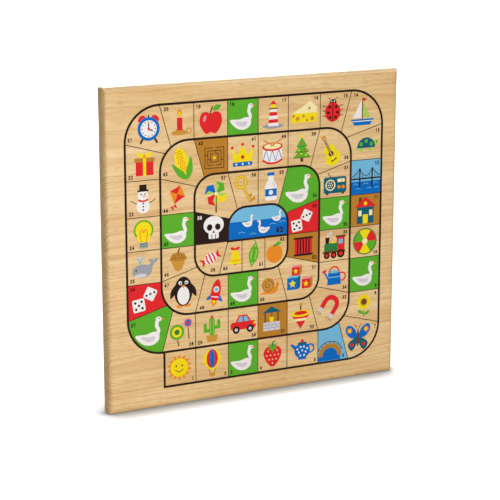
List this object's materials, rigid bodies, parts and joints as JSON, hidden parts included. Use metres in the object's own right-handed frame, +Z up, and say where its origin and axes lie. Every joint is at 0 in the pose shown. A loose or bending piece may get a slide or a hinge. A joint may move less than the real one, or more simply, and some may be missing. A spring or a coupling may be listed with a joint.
{
  "type": "game board",
  "caption": "Square wooden game board glued up from staves, with a spiral goose track printed on the front and a parcheesi court on the back.",
  "frame": {"origin": "middle of the lower edge, on the surface the board stands on", "axes": "+Z up the board, +X to the right seen from the front, the front with the goose track faces -Y"},
  "size_m": [0.4, 0.0202, 0.4],
  "materials": {
    "pine": "satin varnish",
    "glue": "cured wood glue",
    "black_ink": "printed ink",
    "green_ink": "printed ink",
    "red_ink": "printed ink",
    "light_blue_ink": "printed ink",
    "blue_ink": "printed ink",
    "brown_ink": "printed ink",
    "yellow_ink": "printed ink",
    "white_ink": "printed ink",
    "pearl_ink": "printed ink",
    "grey_ink": "printed ink",
    "pink_ink": "printed ink",
    "teal_ink": "printed ink",
    "cream_ink": "printed ink",
    "orange_ink": "printed ink",
    "dark_green_ink": "printed ink",
    "lime_ink": "printed ink",
    "ochre_ink": "printed ink",
    "dark_brown_ink": "printed ink"
  },
  "bodies": {
    "root": {"stave_1": "pine", "stave_2": "pine", "stave_3": "pine", "stave_4": "pine", "stave_5": "pine", "stave_6": "pine", "stave_7": "pine", "stave_8": "pine", "glue_lines": "glue", "lane_line": "black_ink", "square_dividers": "black_ink", "goose_squares": "green_ink", "dice_squares": "red_ink", "sky_fields": "light_blue_ink", "water_fields": "blue_ink", "hazard_squares": "brown_ink", "skull_square": "black_ink", "court_lines": "black_ink", "safe_rings": "black_ink", "red_yard": "red_ink", "red_home_lane": "red_ink", "blue_yard": "blue_ink", "blue_home_lane": "blue_ink", "yellow_yard": "yellow_ink", "yellow_home_lane": "yellow_ink", "green_yard": "green_ink", "green_home_lane": "green_ink"}
  },
  "joints": []
}
